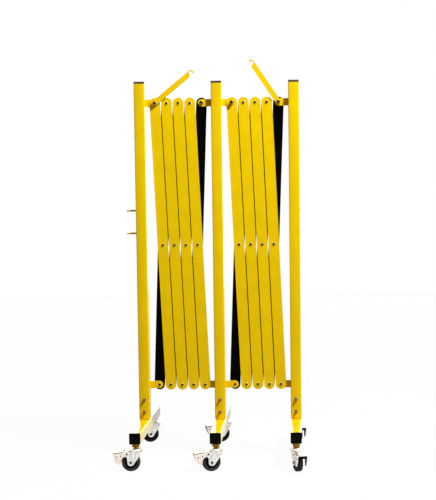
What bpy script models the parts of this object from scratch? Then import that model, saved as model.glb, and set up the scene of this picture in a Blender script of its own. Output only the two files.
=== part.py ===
"""Expandable safety barrier: three wheeled posts joined by two scissor lattices of flat bars.

X runs along the barrier, Y away from the side with the latch hooks, Z up. The origin lies on the
floor under the middle post. Lengths are metres and angles are degrees. The barrier is built folded,
as it stands when it is put away.
"""
from math import asin, copysign, cos, degrees, pi, radians, sin, tan

import bmesh
import bpy
from mathutils import Euler, Matrix, Vector

# Square tube of the posts and feet
TUBE_SIZE = 0.030
TUBE_WALL = 0.0015
TUBE_CORNER = 0.0025
POST_LENGTH = 0.950
FOOT_LENGTH = 0.394

# Running and assembly clearances
SEAT_GAP = 0.0003
CUT_OVERRUN = 0.002
WELD_DEPTH = 0.0006

# Scissor lattice
BAR_LENGTH = 0.796
BAR_WIDTH = 0.030
BAR_THICKNESS = 0.002
BAR_GAP = 0.0027
OPEN_ANGLE = 36.5
CROSSINGS = 4
TOP_PIVOT_DROP = 0.056

# Straps that carry the lattice on the posts
STRAP_REACH = 0.0275
STRAP_HEIGHT = 0.0205
STRAP_THICKNESS = 0.0025
SLOT_CLEARANCE = 0.0005
GLIDE_DEPTH = 0.0075
GLIDE_HEIGHT = 0.030

# Pivot rivets and bolts
RIVET_RADIUS = 0.003
BORE_CLEARANCE = 0.0005
RIVET_HEAD_RADIUS = 0.005
RIVET_CROWN_RADIUS = 0.003
RIVET_HEAD_HEIGHT = 0.0016
RIVET_COLLAR_RADIUS = 0.006
STUD_RADIUS = 0.004
STUD_HEAD_RADIUS = 0.0058
STUD_HEAD_HEIGHT = 0.0045
STUD_HEAD_CHAMFER = 0.0008
STUD_COLLAR_RADIUS = 0.0058

# Latch hooks
HOOK_WIDTH = 0.015
HOOK_THICKNESS = 0.002
HOOK_NOTCH_RADIUS = 0.0055
HOOK_NOTCH_DROP = 0.0009
HOOK_TIP_WIDTH = 0.004
HOOK_TIP_DROP = 0.003
HOOK_ANGLES = {"left": 39.0, "right": 56.0}

# Tube plugs
PLUG_FLANGE = 0.003
PLUG_DEPTH = 0.012

# Spigot on the foot and the bolts that hold the post on it
SPIGOT_HEIGHT = 0.075
SPIGOT_WALL = 0.002
FOOT_BOLT_RADIUS = 0.003
FOOT_BOLT_HEAD_RADIUS = 0.0055
FOOT_BOLT_HEAD_HEIGHT = 0.0035
FOOT_BOLT_HEIGHTS = (0.022, 0.057)

# Pins that couple one barrier to the next
PIN_RADIUS = 0.0025
PIN_REACH = 0.028
PIN_TAPER = 0.0015
PIN_HEIGHTS = (0.636, 0.700)
PIN_PLATE_WIDTH = 0.018
PIN_PLATE_THICKNESS = 0.002
PIN_PLATE_MARGIN = 0.012
PIN_BORE_CLEARANCE = 0.0005

# Casters
STEM_INSET = 0.014
BOSS_RADIUS = 0.0105
BOSS_HEIGHT = 0.006
BOSS_CHAMFER = 0.002
NECK_RADIUS = 0.0065
NECK_HEIGHT = 0.007
STEM_RADIUS = 0.004
STEM_DEPTH = 0.009
TRAIL = 0.013
WHEEL_RADIUS = 0.025
WHEEL_WIDTH = 0.018
WHEEL_SHOULDER = 0.003
HUB_RADIUS = 0.0085
HUB_WIDTH = 0.019
RIM_RADIUS = 0.0165
WEB_WIDTH = 0.009
AXLE_RADIUS = 0.003
AXLE_HEAD_RADIUS = 0.0045
AXLE_HEAD_HEIGHT = 0.002
WHEEL_SIDE_GAP = 0.0006
FORK_WALL = 0.0018
CROWN_RADIUS = 0.018
CROWN_EDGE = 0.0155
CROWN_HEIGHT = 0.0055
FORK_ROOF_GAP = 0.0015
FORK_ROOF = 0.0052
LEG_TOP_DROP = 0.0017
PEDAL_WALL = 0.0015
PEDAL_LIP = 0.0025
PEDAL_REACH = 0.038
PEDAL_SLOPE = 1.0
PEDAL_TRAVEL = 10.0
PEDAL_PIN_RADIUS = 0.002
PEDAL_LUG_RADIUS = 0.0045
SHOE_WIDTH = 0.014
SHOE_FACE = 0.006
SHOE_LENGTH = 0.0075

# Ways that the casters trail, seen from above and counted from +X
CASTER_YAWS = {
    "left": {"front": 182, "rear": 197},
    "middle": {"front": 195, "rear": 200},
    "right": {"front": 286, "rear": 286},
}

# Outline of a fork leg as shares of the wheel radius: trailing distance from the stem, height over floor.
# It is flat on top between two distances and rounded about the axle between two directions.
LEG_TOP_SHARES = (0.08, -0.62)
LEG_FRONT_SHARES = ((-0.64, 2.12), (-0.50, 1.80), (0.17, 0.84))
LEG_BACK_SHARES = ((0.86, 1.30), (0.92, 1.56), (1.26, 1.84), (1.26, 2.14))
LEG_END_SHARE = 0.36
LEG_END_ARC = (205, 380)
PEDAL_PIVOT_SHARES = (0.92, 1.92)

# Lower edge of a pedal's side as shares of the wheel radius, from the pedal's pin, and the corners of
# the skirt behind the tread: shares of the pedal's reach, and heights as shares of the wheel radius
PEDAL_SIDE_SHARES = ((0.34, -0.30), (0.56, -0.45), (0.64, -0.84), (0.66, -1.14))
PEDAL_SKIRT_SHARES = ((0.72, -1.02), (0.89, -0.62))
PEDAL_MOUTH_SHARE = -0.22
PEDAL_TIP_SHARE = 0.14
SHOE_ANGLE = 30.0

# Facets around the round forms
BAR_END_STEPS = 8
RIVET_STEPS = 8
PIVOT_STEPS = 10
WHEEL_STEPS = 18
CROWN_STEPS = 12
CORNER_STEPS = 2
SMOOTH_UP_TO = radians(35)

# Colours as linear red, green and blue
YELLOW = (0.75, 0.47, 0.0)
BLACK = (0.012, 0.012, 0.012)
RUBBER = (0.045, 0.045, 0.045)
ZINC = (0.62, 0.62, 0.60)

# Sizes that follow from the ones above
MERGE_DISTANCE = SEAT_GAP / 30
FOLDED_PITCH = BAR_WIDTH + BAR_GAP
FOLDED_ANGLE = degrees(asin(FOLDED_PITCH / BAR_LENGTH))
LATTICE_WIDTH = CROSSINGS * FOLDED_PITCH
PIVOT_REACH = TUBE_SIZE / 2 + STRAP_REACH
POST_SPACING = 2 * PIVOT_REACH + LATTICE_WIDTH
CROWN_TOP = 2 * WHEEL_RADIUS + FORK_ROOF_GAP + FORK_ROOF + CROWN_HEIGHT
FLOOR_TO_FOOT = CROWN_TOP + SEAT_GAP + NECK_HEIGHT + BOSS_HEIGHT
FOOT_TOP = FLOOR_TO_FOOT + TUBE_SIZE
POST_BOTTOM = FOOT_TOP + SEAT_GAP
POST_TOP = POST_BOTTOM + POST_LENGTH
TOP_PIVOT = POST_TOP - TOP_PIVOT_DROP
BOTTOM_PIVOT = TOP_PIVOT - BAR_LENGTH * cos(radians(FOLDED_ANGLE))
SLIDE_TRAVEL = BAR_LENGTH * (cos(radians(FOLDED_ANGLE)) - cos(radians(OPEN_ANGLE)))
TUBE_BORE = TUBE_SIZE - 2 * TUBE_WALL
SPIGOT_SIZE = TUBE_BORE - 2 * SEAT_GAP
GLIDE_INSET = TUBE_WALL + SEAT_GAP + SPIGOT_WALL + SEAT_GAP
GLIDE_WIDTH = TUBE_SIZE - 2 * (GLIDE_INSET + SPIGOT_WALL / 2)
BAR_OFFSET = STRAP_THICKNESS / 2 + SEAT_GAP + BAR_THICKNESS / 2
BAR_FACE = BAR_OFFSET + BAR_THICKNESS / 2
RIVET_BACK = BAR_FACE + SEAT_GAP
HOOK_BACK = BAR_FACE + RIVET_HEAD_HEIGHT + SEAT_GAP
HOOK_FRONT = HOOK_BACK + HOOK_THICKNESS
STUD_SEAT = HOOK_FRONT + SEAT_GAP
STUD_TOP = STUD_SEAT + STUD_HEAD_HEIGHT
STEM_Y = FOOT_LENGTH / 2 - STEM_INSET
LEG_INNER = max(HUB_WIDTH, WHEEL_WIDTH) / 2 + WHEEL_SIDE_GAP
LEG_OUTER = LEG_INNER + FORK_WALL

SIDES = {"left": -1, "right": 1}

for leftover in list(bpy.data.objects):
    bpy.data.objects.remove(leftover)


def collection(name):
    made = bpy.data.collections.new(name)
    bpy.context.scene.collection.children.link(made)
    return made


def material(name, colour, roughness, metallic):
    finish = bpy.data.materials.new(name)
    finish.use_nodes = True
    shader = finish.node_tree.nodes["Principled BSDF"]
    shader.inputs["Base Color"].default_value = (*colour, 1)
    shader.inputs["Roughness"].default_value = roughness
    shader.inputs["Metallic"].default_value = metallic
    return finish


parts = collection("safety_barrier")
workshop = collection("shapes_in_the_making")
FINISH = {
    "yellow": material("yellow_paint", YELLOW, 0.3, 0),
    "black": material("black_paint", BLACK, 0.3, 0),
    "plastic": material("black_plastic", BLACK, 0.5, 0),
    "rubber": material("grey_rubber", RUBBER, 0.7, 0),
    "zinc": material("zinc_plate", ZINC, 0.3, 1),
}


def add_part(name, mesh, finish, location=(0, 0, 0), rotation=(0, 0, 0), parent=None):
    """Puts a finished mesh into the barrier. A location under a parent is given from that parent."""
    obj = bpy.data.objects.new(name, mesh)
    parts.objects.link(obj)
    mesh.materials.clear()
    mesh.materials.append(finish)
    mesh.shade_smooth()
    mesh.set_sharp_from_angle(angle=SMOOTH_UP_TO)
    obj.location = location
    obj.rotation_euler = rotation
    obj.parent = parent
    return obj


def add_empty(name, location, rotation):
    empty = bpy.data.objects.new(name, None)
    parts.objects.link(empty)
    empty.location = location
    empty.rotation_euler = rotation
    return empty


def finished(obj, weld=False):
    """Takes the evaluated mesh of a shape in the making and removes the shape."""
    bpy.context.view_layer.update()
    graph = bpy.context.evaluated_depsgraph_get()
    mesh = bpy.data.meshes.new_from_object(obj.evaluated_get(graph), depsgraph=graph)
    mesh.transform(obj.matrix_world)
    bpy.data.objects.remove(obj)
    if weld:
        bm = bmesh.new()
        bm.from_mesh(mesh)
        bmesh.ops.remove_doubles(bm, verts=bm.verts, dist=MERGE_DISTANCE)
        bmesh.ops.recalc_face_normals(bm, faces=bm.faces)
        bm.to_mesh(mesh)
        bm.free()
    return mesh


def slab(outline, thickness, holes=()):
    """A flat plate in the XY plane, centred on it, from a closed outline and its holes."""
    curve = bpy.data.curves.new("outline", "CURVE")
    curve.dimensions = "2D"
    curve.fill_mode = "BOTH"
    curve.extrude = thickness / 2
    for points in (outline, *holes):
        spline = curve.splines.new("POLY")
        spline.points.add(len(points) - 1)
        for point, (x, y) in zip(spline.points, points):
            point.co = (x, y, 0, 1)
        spline.use_cyclic_u = True
    obj = bpy.data.objects.new("outline", curve)
    workshop.objects.link(obj)
    return finished(obj, weld=True)


def turned(profile, steps):
    """A solid of revolution about Z. The profile is (radius, height) and runs from top to bottom."""
    mesh = bpy.data.meshes.new("profile")
    edges = [(i, i + 1) for i in range(len(profile) - 1)]
    mesh.from_pydata([(radius, 0, height) for radius, height in profile], edges, [])
    obj = bpy.data.objects.new("profile", mesh)
    workshop.objects.link(obj)
    screw = obj.modifiers.new("turn", "SCREW")
    screw.steps = steps
    screw.render_steps = steps
    screw.use_merge_vertices = True
    screw.merge_threshold = MERGE_DISTANCE
    screw.use_smooth_shade = False
    return finished(obj, weld=True)


def block(size, centre):
    mesh = bpy.data.meshes.new("block")
    bm = bmesh.new()
    bmesh.ops.create_cube(bm, size=1, matrix=Matrix.Translation(centre) @ Matrix.Diagonal((*size, 1)))
    bm.to_mesh(mesh)
    bm.free()
    return mesh


def moved(mesh, location=(0, 0, 0), rotation=(0, 0, 0)):
    mesh.transform(Matrix.Translation(Vector(location)) @ Euler(rotation).to_matrix().to_4x4())
    return mesh


def gathered(meshes):
    """Several separate bodies in one mesh, as one operand of a Boolean."""
    bm = bmesh.new()
    for mesh in meshes:
        bm.from_mesh(mesh)
    bodies = bpy.data.meshes.new("bodies")
    bm.to_mesh(bodies)
    bm.free()
    return bodies


def combined(mesh, tool, operation):
    base = bpy.data.objects.new("base", mesh)
    other = bpy.data.objects.new("tool", tool)
    for obj in (base, other):
        workshop.objects.link(obj)
    boolean = base.modifiers.new("combine", "BOOLEAN")
    boolean.operation = operation
    boolean.solver = "EXACT"
    boolean.object = other
    result = finished(base)
    bpy.data.objects.remove(other)
    return result


def joined(mesh, *others):
    for other in others:
        mesh = combined(mesh, other, "UNION")
    return mesh


def cut(mesh, *cutters):
    return combined(mesh, gathered(cutters), "DIFFERENCE")


def arc(centre, radius, start, end, steps):
    """Points along an arc, ends included, with its angles in degrees."""
    turn = (end - start) / steps
    angles = [radians(start + i * turn) for i in range(steps + 1)]
    return [(centre[0] + radius * cos(a), centre[1] + radius * sin(a)) for a in angles]


def circle(centre, radius, steps):
    return arc(centre, radius, 0, 360, steps)[:-1]


def rounded_square(size, corner, steps=CORNER_STEPS):
    half = size / 2 - corner
    centres = ((half, half), (-half, half), (-half, -half), (half, -half))
    points = []
    for quarter, centre in enumerate(centres):
        points += arc(centre, corner, 90 * quarter, 90 * quarter + 90, steps)
    return points


def upright(mesh):
    """Turns a plate from the XY plane into the XZ plane, with its thickness along Y."""
    return moved(mesh, rotation=(pi / 2, 0, 0))


def along_y(profile, steps):
    """A turned piece on the Y axis. The profile is (radius, y) and runs from the back to the front."""
    return moved(turned(profile, steps), rotation=(-pi / 2, 0, 0))


def square_tube(length, size=TUBE_SIZE, wall=TUBE_WALL, corner=TUBE_CORNER):
    bore = [rounded_square(size - 2 * wall, max(corner - wall, wall / 2), steps=1)]
    return slab(rounded_square(size, corner), length, bore)


def bore_cutter(radius, y_from, y_to, x, z):
    mesh = slab(circle((0, 0), radius, RIVET_STEPS), y_to - y_from)
    return moved(upright(mesh), (x, (y_from + y_to) / 2, z))


def rivet(height):
    """A pivot rivet of a yellow bar, with a collar between the bars and a head behind the black bar."""
    profile = (
        (0, RIVET_BACK + RIVET_HEAD_HEIGHT),
        (RIVET_CROWN_RADIUS, RIVET_BACK + RIVET_HEAD_HEIGHT),
        (RIVET_HEAD_RADIUS, RIVET_BACK),
        (RIVET_RADIUS, RIVET_BACK),
        (RIVET_RADIUS, STRAP_THICKNESS / 2),
        (RIVET_COLLAR_RADIUS, STRAP_THICKNESS / 2),
        (RIVET_COLLAR_RADIUS, -BAR_OFFSET),
        (RIVET_HEAD_RADIUS, -BAR_OFFSET),
        (RIVET_HEAD_RADIUS, -BAR_FACE),
        (RIVET_CROWN_RADIUS, -BAR_FACE - RIVET_HEAD_HEIGHT),
        (0, -BAR_FACE - RIVET_HEAD_HEIGHT),
    )
    return moved(along_y(profile, RIVET_STEPS), (0, 0, height))


def bar_outline(top, bottom):
    radius = BAR_WIDTH / 2
    upper = arc((0, top), radius, 0, 180, BAR_END_STEPS)
    lower = arc((0, bottom), radius, 180, 360, BAR_END_STEPS)
    return upper + lower


def bar_heights(hinge):
    """Heights of the top, middle and bottom pivots over the hinge that the bar turns on."""
    top = 0 if hinge == "top" else BAR_LENGTH / 2
    return top, top - BAR_LENGTH / 2, top - BAR_LENGTH


def yellow_bar(hinge, open_end):
    """A front bar. It carries a rivet at each pivot but the one that a strap's bolt passes through."""
    heights = bar_heights(hinge)
    open_height = {"top": heights[0], "bottom": heights[2]}.get(open_end)
    bore = STUD_RADIUS if open_end == "top" else RIVET_RADIUS
    holes = []
    if open_height is not None:
        holes = [circle((0, open_height), bore + BORE_CLEARANCE, RIVET_STEPS)]
    plate = upright(slab(bar_outline(heights[0], heights[2]), BAR_THICKNESS, holes))
    plate = moved(plate, (0, -BAR_OFFSET, 0))
    rivets = [rivet(height) for height in heights if height != open_height]
    return joined(plate, gathered(rivets))


def black_bar(hinge):
    """A rear bar with three plain pivot holes."""
    heights = bar_heights(hinge)
    holes = [circle((0, height), RIVET_RADIUS + BORE_CLEARANCE, RIVET_STEPS) for height in heights]
    plate = upright(slab(bar_outline(heights[0], heights[2]), BAR_THICKNESS, holes))
    return moved(plate, (0, BAR_OFFSET, 0))


def strap_outline(inner, outer, height):
    """A strap from a flat end at inner to a round end about the pivot at outer."""
    half = height / 2
    if outer > inner:
        return [(inner, -half)] + arc((outer, 0), half, -90, 90, BAR_END_STEPS) + [(inner, half)]
    return [(inner, half)] + arc((outer, 0), half, 90, 270, BAR_END_STEPS) + [(inner, -half)]


def top_stud(x, bar_in_front):
    """The top pivot bolt of a strap, with the neck and head that a latch hook turns on or drops over."""
    if bar_in_front:
        back = STRAP_THICKNESS / 2
        root = [(RIVET_HEAD_RADIUS, 0), (STUD_RADIUS, 0), (STUD_RADIUS, -BAR_FACE - SEAT_GAP)]
        root += [(STUD_COLLAR_RADIUS, -BAR_FACE - SEAT_GAP)]
    else:
        back = RIVET_BACK
        root = [(RIVET_RADIUS, back), (RIVET_RADIUS, 0), (STUD_COLLAR_RADIUS, 0)]
    profile = [
        (0, back + RIVET_HEAD_HEIGHT),
        (RIVET_CROWN_RADIUS, back + RIVET_HEAD_HEIGHT),
        (RIVET_HEAD_RADIUS, back),
        *root,
        (STUD_COLLAR_RADIUS, -HOOK_BACK + SEAT_GAP),
        (STUD_RADIUS, -HOOK_BACK + SEAT_GAP),
        (STUD_RADIUS, -STUD_SEAT),
        (STUD_HEAD_RADIUS, -STUD_SEAT),
        (STUD_HEAD_RADIUS, -STUD_TOP + STUD_HEAD_CHAMFER),
        (STUD_HEAD_RADIUS - STUD_HEAD_CHAMFER, -STUD_TOP),
        (0, -STUD_TOP),
    ]
    return moved(along_y(profile, PIVOT_STEPS), (x, 0, 0))


def bottom_stud(bar_in_front):
    """The bottom pivot rivet of a sliding strap, through the bar in front of it or behind it."""
    if bar_in_front:
        back, front = STRAP_THICKNESS / 2, BAR_FACE + SEAT_GAP
        shank = [(RIVET_HEAD_RADIUS, 0), (RIVET_RADIUS, 0), (RIVET_RADIUS, -front)]
    else:
        back, front = RIVET_BACK, STRAP_THICKNESS / 2
        shank = [(RIVET_RADIUS, back), (RIVET_RADIUS, 0), (RIVET_HEAD_RADIUS, 0)]
    profile = [
        (0, back + RIVET_HEAD_HEIGHT),
        (RIVET_CROWN_RADIUS, back + RIVET_HEAD_HEIGHT),
        (RIVET_HEAD_RADIUS, back),
        *shank,
        (RIVET_HEAD_RADIUS, -front),
        (RIVET_CROWN_RADIUS, -front - RIVET_HEAD_HEIGHT),
        (0, -front - RIVET_HEAD_HEIGHT),
    ]
    return along_y(profile, RIVET_STEPS)


def pivot_x(side, crossing):
    """Distance of a lattice's pivot from its hinge on the middle post, counted from that post."""
    return SIDES[side] * (PIVOT_REACH + crossing * FOLDED_PITCH)


def top_strap(ends):
    """A strap set through slots in a post, with a pivot bolt at each end that reaches out.

    ends lists (x, bar_in_front) from the post's centre. A strap with one end stops inside the far wall.
    """
    reach = [x for x, _ in ends]
    inner = copysign(TUBE_BORE / 2 - SEAT_GAP, -reach[0])
    if len(ends) == 1:
        outline = strap_outline(inner, reach[0], STRAP_HEIGHT)
    else:
        half = STRAP_HEIGHT / 2
        outline = arc((max(reach), 0), half, -90, 90, BAR_END_STEPS)
        outline += arc((min(reach), 0), half, 90, 270, BAR_END_STEPS)
    plate = upright(slab(outline, STRAP_THICKNESS))
    return joined(plate, gathered([top_stud(x, front) for x, front in ends]))


def sliding_strap(direction, bar_in_front):
    """A strap on a glide that runs up and down inside a slotted post and its foot's slotted spigot.
    Its origin is its pivot."""
    centre = -direction * (STRAP_REACH + GLIDE_INSET + GLIDE_DEPTH / 2)
    plate = upright(slab(strap_outline(centre, 0, STRAP_HEIGHT), STRAP_THICKNESS))
    glide = slab(rounded_square(GLIDE_WIDTH, TUBE_WALL, steps=1), GLIDE_DEPTH)
    glide.transform(Matrix.Diagonal((GLIDE_HEIGHT / GLIDE_WIDTH, 1, 1, 1)))
    glide = moved(glide, (centre, 0, 0), (0, pi / 2, 0))
    return joined(plate, glide, bottom_stud(bar_in_front))


def latch_hook(direction):
    """A level flat hook that reaches along +X or -X, with its notch open on the lower side."""
    reach = LATTICE_WIDTH
    half = HOOK_WIDTH / 2
    centre = (reach, -HOOK_NOTCH_DROP)
    notch = HOOK_NOTCH_RADIUS
    tip = notch + HOOK_TIP_WIDTH
    rise = degrees(asin(min(1, (half - centre[1]) / tip)))
    outline = arc((0, 0), half, 90, 270, BAR_END_STEPS)
    outline += [(reach - notch - HOOK_TIP_WIDTH, -half), (reach - notch, centre[1] - HOOK_TIP_DROP)]
    outline += arc(centre, notch, 180, 0, BAR_END_STEPS)
    outline += [(reach + notch, centre[1] - HOOK_TIP_DROP), (reach + tip, centre[1] - HOOK_TIP_DROP)]
    outline += arc(centre, tip, 0, rise, CORNER_STEPS * 2)
    hole = circle((0, 0), STUD_RADIUS + BORE_CLEARANCE, PIVOT_STEPS)
    if direction < 0:
        outline = [(-x, y) for x, y in reversed(outline)]
        hole = [(-x, y) for x, y in reversed(hole)]
    plate = upright(slab(outline, HOOK_THICKNESS, [hole]))
    return moved(plate, (0, -(HOOK_BACK + HOOK_FRONT) / 2, 0))


def tube_plug():
    """A square plug: a flange as wide as the tube and a core that fits its bore. It points up Z."""
    flange = slab(rounded_square(TUBE_SIZE, TUBE_CORNER), PLUG_FLANGE)
    core_length = PLUG_DEPTH + PLUG_FLANGE / 2
    core = slab(rounded_square(TUBE_BORE - 2 * SEAT_GAP, TUBE_WALL, steps=1), core_length)
    recess = slab(rounded_square(TUBE_BORE - 4 * TUBE_WALL, TUBE_WALL, steps=1), PLUG_DEPTH)
    flange = moved(flange, (0, 0, SEAT_GAP + PLUG_FLANGE / 2))
    core = moved(core, (0, 0, SEAT_GAP + PLUG_FLANGE / 2 - core_length / 2))
    recess = moved(recess, (0, 0, -PLUG_DEPTH / 2 - TUBE_WALL))
    return cut(joined(flange, core), recess)


def slot_cutter(side, face, wall, bottom, top):
    """Cuts an upright slot for a strap through a wall whose outer face is that far from the centre."""
    width = STRAP_THICKNESS + 2 * SLOT_CLEARANCE
    depth = wall + 2 * CUT_OVERRUN
    return block((depth, width, top - bottom), (side * (face - wall / 2), 0, (bottom + top) / 2))


def post(slotted, bored):
    """A square tube post, its origin at its foot end.

    slotted lists the sides (-1, 1) with a slide slot and a slot for the top strap, and bored the
    sides with bores for coupling pins.
    """
    tube = moved(square_tube(POST_LENGTH), (0, 0, POST_LENGTH / 2))
    face = TUBE_SIZE / 2
    slot_top = BOTTOM_PIVOT - POST_BOTTOM + SLIDE_TRAVEL + STRAP_HEIGHT / 2 + CUT_OVERRUN
    strap_z = TOP_PIVOT - POST_BOTTOM
    strap_half = STRAP_HEIGHT / 2 + SEAT_GAP
    cutters = []
    for side in slotted:
        cutters.append(slot_cutter(side, face, TUBE_WALL, -CUT_OVERRUN, slot_top))
        cutters.append(slot_cutter(side, face, TUBE_WALL, strap_z - strap_half, strap_z + strap_half))
    bolt_bore = FOOT_BOLT_RADIUS + BORE_CLEARANCE
    reach = face + CUT_OVERRUN
    cutters += [bore_cutter(bolt_bore, -reach, reach, 0, z) for z in FOOT_BOLT_HEIGHTS]
    radius = PIN_RADIUS + PIN_BORE_CLEARANCE
    for side in bored:
        for height in PIN_HEIGHTS:
            bore = slab(circle((0, 0), radius, RIVET_STEPS), TUBE_WALL + 2 * CUT_OVERRUN)
            spot = (side * (face - TUBE_WALL / 2), 0, height - POST_BOTTOM)
            cutters.append(moved(bore, spot, (0, pi / 2, 0)))
    return cut(tube, *cutters)


def coupling_pins():
    """Two pins on a backing strip inside the left post. The origin is at the post's foot end."""
    face = TUBE_SIZE / 2
    inner = face - TUBE_WALL - SEAT_GAP
    length = max(PIN_HEIGHTS) - min(PIN_HEIGHTS) + 2 * PIN_PLATE_MARGIN
    middle = (max(PIN_HEIGHTS) + min(PIN_HEIGHTS)) / 2 - POST_BOTTOM
    centre = (-inner + PIN_PLATE_THICKNESS / 2, 0, middle)
    strip = block((PIN_PLATE_THICKNESS, PIN_PLATE_WIDTH, length), centre)
    root = inner - PIN_PLATE_THICKNESS / 2
    end = face + PIN_REACH
    profile = (
        (0, end),
        (PIN_RADIUS - PIN_TAPER, end),
        (PIN_RADIUS, end - PIN_TAPER),
        (PIN_RADIUS, root),
        (0, root),
    )
    pins = [
        moved(turned(profile, PIVOT_STEPS), (0, 0, height - POST_BOTTOM), (0, -pi / 2, 0))
        for height in PIN_HEIGHTS
    ]
    return joined(strip, gathered(pins))


def stem_boss():
    """The stepped boss under a foot, bored for the stem of a caster. Its top is at the foot's underside."""
    bore = STEM_RADIUS + SEAT_GAP
    bottom = -BOSS_HEIGHT - NECK_HEIGHT
    profile = (
        (0, WELD_DEPTH),
        (BOSS_RADIUS, WELD_DEPTH),
        (BOSS_RADIUS, -BOSS_HEIGHT),
        (NECK_RADIUS, -BOSS_HEIGHT - BOSS_CHAMFER),
        (NECK_RADIUS, bottom),
        (bore, bottom),
        (bore, bottom + STEM_DEPTH + SEAT_GAP),
        (0, bottom + STEM_DEPTH + SEAT_GAP),
    )
    return turned(profile, CROWN_STEPS)


def foot_bolt(height):
    """A bolt right through the post and the spigot, with a domed head in front and a nut behind."""
    face = TUBE_SIZE / 2 + SEAT_GAP
    crown = FOOT_BOLT_HEAD_RADIUS / 2
    profile = (
        (0, face + FOOT_BOLT_HEAD_HEIGHT),
        (FOOT_BOLT_HEAD_RADIUS, face + FOOT_BOLT_HEAD_HEIGHT),
        (FOOT_BOLT_HEAD_RADIUS, face),
        (FOOT_BOLT_RADIUS, face),
        (FOOT_BOLT_RADIUS, -face),
        (FOOT_BOLT_HEAD_RADIUS, -face),
        (FOOT_BOLT_HEAD_RADIUS - crown / 4, -face - FOOT_BOLT_HEAD_HEIGHT / 2),
        (crown, -face - FOOT_BOLT_HEAD_HEIGHT),
        (0, -face - FOOT_BOLT_HEAD_HEIGHT),
    )
    return moved(along_y(profile, RIVET_STEPS), (0, 0, height))


def foot(slotted):
    """The cross tube with the spigot that enters the post. Its origin is the middle of its top face.

    slotted lists the sides (-1, 1) where the post's slide slot runs on through the spigot.
    """
    beam = moved(square_tube(FOOT_LENGTH), (0, 0, -TUBE_SIZE / 2), (pi / 2, 0, 0))
    length = SPIGOT_HEIGHT + WELD_DEPTH
    spigot = square_tube(length, SPIGOT_SIZE, SPIGOT_WALL, TUBE_WALL)
    spigot = moved(spigot, (0, 0, length / 2 - WELD_DEPTH))
    overrun = SPIGOT_HEIGHT + CUT_OVERRUN
    slots = [slot_cutter(side, SPIGOT_SIZE / 2, SPIGOT_WALL, -overrun, overrun) for side in slotted]
    spigot = cut(spigot, *slots)
    bosses = [moved(stem_boss(), (0, side * STEM_Y, -TUBE_SIZE)) for side in (-1, 1)]
    bolts = [foot_bolt(SEAT_GAP + height) for height in FOOT_BOLT_HEIGHTS]
    return joined(beam, spigot, gathered(bosses), gathered(bolts))


def wheel():
    """A tyred wheel on the Y axis with a rounded tread, a recessed web and a bored hub."""
    half = WHEEL_WIDTH / 2
    bore = AXLE_RADIUS + SEAT_GAP
    web = WEB_WIDTH / 2
    hub = HUB_WIDTH / 2
    profile = (
        (bore, hub),
        (HUB_RADIUS, hub),
        (RIM_RADIUS, web),
        (RIM_RADIUS, half),
        (WHEEL_RADIUS - WHEEL_SHOULDER, half),
        (WHEEL_RADIUS, half - WHEEL_SHOULDER),
        (WHEEL_RADIUS, -half + WHEEL_SHOULDER),
        (WHEEL_RADIUS - WHEEL_SHOULDER, -half),
        (RIM_RADIUS, -half),
        (RIM_RADIUS, -web),
        (HUB_RADIUS, -hub),
        (bore, -hub),
        (bore, hub),
    )
    flat_down = pi / WHEEL_STEPS
    return moved(moved(turned(profile, WHEEL_STEPS), rotation=(0, 0, flat_down)), rotation=(-pi / 2, 0, 0))


def leg_outline():
    """Side view of a fork leg about the stem, from the top of its crown round the axle end."""
    radius = WHEEL_RADIUS
    front = [(x * radius, CROWN_TOP - LEG_TOP_DROP) for x in LEG_TOP_SHARES]
    front += [(x * radius, z * radius) for x, z in LEG_FRONT_SHARES]
    back = [(x * radius, z * radius) for x, z in LEG_BACK_SHARES]
    end = arc((TRAIL, radius), LEG_END_SHARE * radius, *LEG_END_ARC, BAR_END_STEPS // 2)
    return front + end + back


def fork():
    """A pressed fork that trails along +X, with its stem, crown and axle and the bores for its pedal's
    pins. The origin is on the floor."""
    crown_bottom = CROWN_TOP - CROWN_HEIGHT
    body = upright(slab(leg_outline(), 2 * LEG_OUTER))
    roof = 2 * WHEEL_RADIUS + FORK_ROOF_GAP
    hollow = block((4 * WHEEL_RADIUS, 2 * LEG_INNER, roof), (0, 0, roof / 2))
    body = cut(body, hollow)
    crown = turned(
        (
            (0, CROWN_TOP + STEM_DEPTH),
            (STEM_RADIUS, CROWN_TOP + STEM_DEPTH),
            (STEM_RADIUS, CROWN_TOP),
            (CROWN_EDGE, CROWN_TOP),
            (CROWN_RADIUS, CROWN_TOP - CROWN_HEIGHT / 2),
            (CROWN_RADIUS, crown_bottom),
            (0, crown_bottom),
        ),
        CROWN_STEPS,
    )
    head = LEG_OUTER + AXLE_HEAD_HEIGHT
    axle = along_y(
        (
            (0, head),
            (AXLE_HEAD_RADIUS, head),
            (AXLE_HEAD_RADIUS, LEG_OUTER - WELD_DEPTH),
            (AXLE_RADIUS, LEG_OUTER - WELD_DEPTH),
            (AXLE_RADIUS, -LEG_OUTER + WELD_DEPTH),
            (AXLE_HEAD_RADIUS, -LEG_OUTER + WELD_DEPTH),
            (AXLE_HEAD_RADIUS, -head),
            (0, -head),
        ),
        PIVOT_STEPS,
    )
    x, z = (share * WHEEL_RADIUS for share in PEDAL_PIVOT_SHARES)
    pin_bore = bore_cutter(PEDAL_PIN_RADIUS + SEAT_GAP, -head, head, x, z)
    return cut(joined(body, crown, moved(axle, (TRAIL, 0, WHEEL_RADIUS))), pin_bore)


def turned_point(point, angle):
    """A point of the XZ plane turned about the origin. A positive angle lifts a point on +X."""
    x, z = point
    a = radians(angle)
    return x * cos(a) - z * sin(a), x * sin(a) + z * cos(a)


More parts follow.
